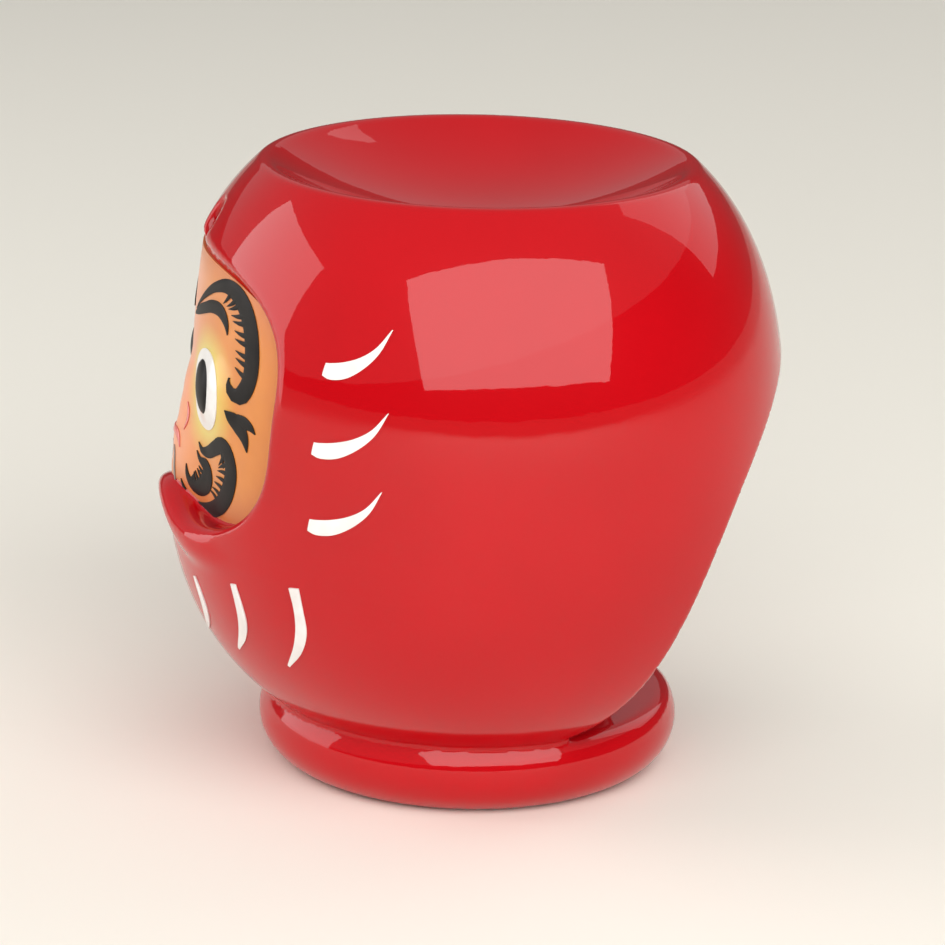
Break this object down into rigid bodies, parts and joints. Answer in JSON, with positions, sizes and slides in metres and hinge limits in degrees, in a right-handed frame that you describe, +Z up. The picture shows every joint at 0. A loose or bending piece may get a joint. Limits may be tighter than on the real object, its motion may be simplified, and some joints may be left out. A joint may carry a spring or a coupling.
{
  "type": "daruma doll burner",
  "caption": "Glazed ceramic wax or oil burner shaped as a round daruma doll, with a dished top, a rear opening and a slide-out tealight.",
  "frame": {"origin": "centre of the foot ring on the surface that the burner stands on", "axes": "+Z up along the axis of the round body; the doll's face looks along -Y, its own left is +X, and the tealight opening faces +Y"},
  "size_m": [0.1066, 0.1063, 0.106],
  "materials": {
    "red_glaze": "gloss",
    "face_enamel": "satin",
    "black_enamel": "satin",
    "white_enamel": "satin",
    "red_enamel": "satin",
    "grey_enamel": "satin",
    "cup_aluminium": "satin",
    "paraffin_wax": "satin",
    "wick_cotton": "matte",
    "tinned_steel": "satin"
  },
  "bodies": {
    "burner": {"ceramic_body": "red_glaze", "face_glaze": "face_enamel", "left_eye_white": "white_enamel", "left_pupil": "black_enamel", "left_outer_brow": "black_enamel", "left_inner_brow": "black_enamel", "left_temple_mark": "black_enamel", "left_beard": "black_enamel", "left_nose_line": "red_enamel", "left_chin_line": "grey_enamel", "right_eye_white": "white_enamel", "right_pupil": "black_enamel", "right_outer_brow": "black_enamel", "right_inner_brow": "black_enamel", "right_temple_mark": "black_enamel", "right_beard": "black_enamel", "right_nose_line": "red_enamel", "right_chin_line": "grey_enamel", "mouth_line": "red_enamel", "left_side_stroke_upper": "white_enamel", "left_side_stroke_middle": "white_enamel", "left_side_stroke_lower": "white_enamel", "right_side_stroke_upper": "white_enamel", "right_side_stroke_middle": "white_enamel", "right_side_stroke_lower": "white_enamel", "left_belly_stroke_inner": "white_enamel", "left_belly_stroke_middle": "white_enamel", "left_belly_stroke_outer": "white_enamel", "right_belly_stroke_inner": "white_enamel", "right_belly_stroke_middle": "white_enamel", "right_belly_stroke_outer": "white_enamel"},
    "tealight": {"candle_cup": "cup_aluminium", "candle_wax": "paraffin_wax", "candle_wick": "wick_cotton", "wick_holder": "tinned_steel"}
  },
  "joints": [
    {"name": "tealight_slide", "type": "slide", "parent": "burner", "child": "tealight", "axis": [0, 1, 0], "range_m": [0, 0.11]}
  ]
}
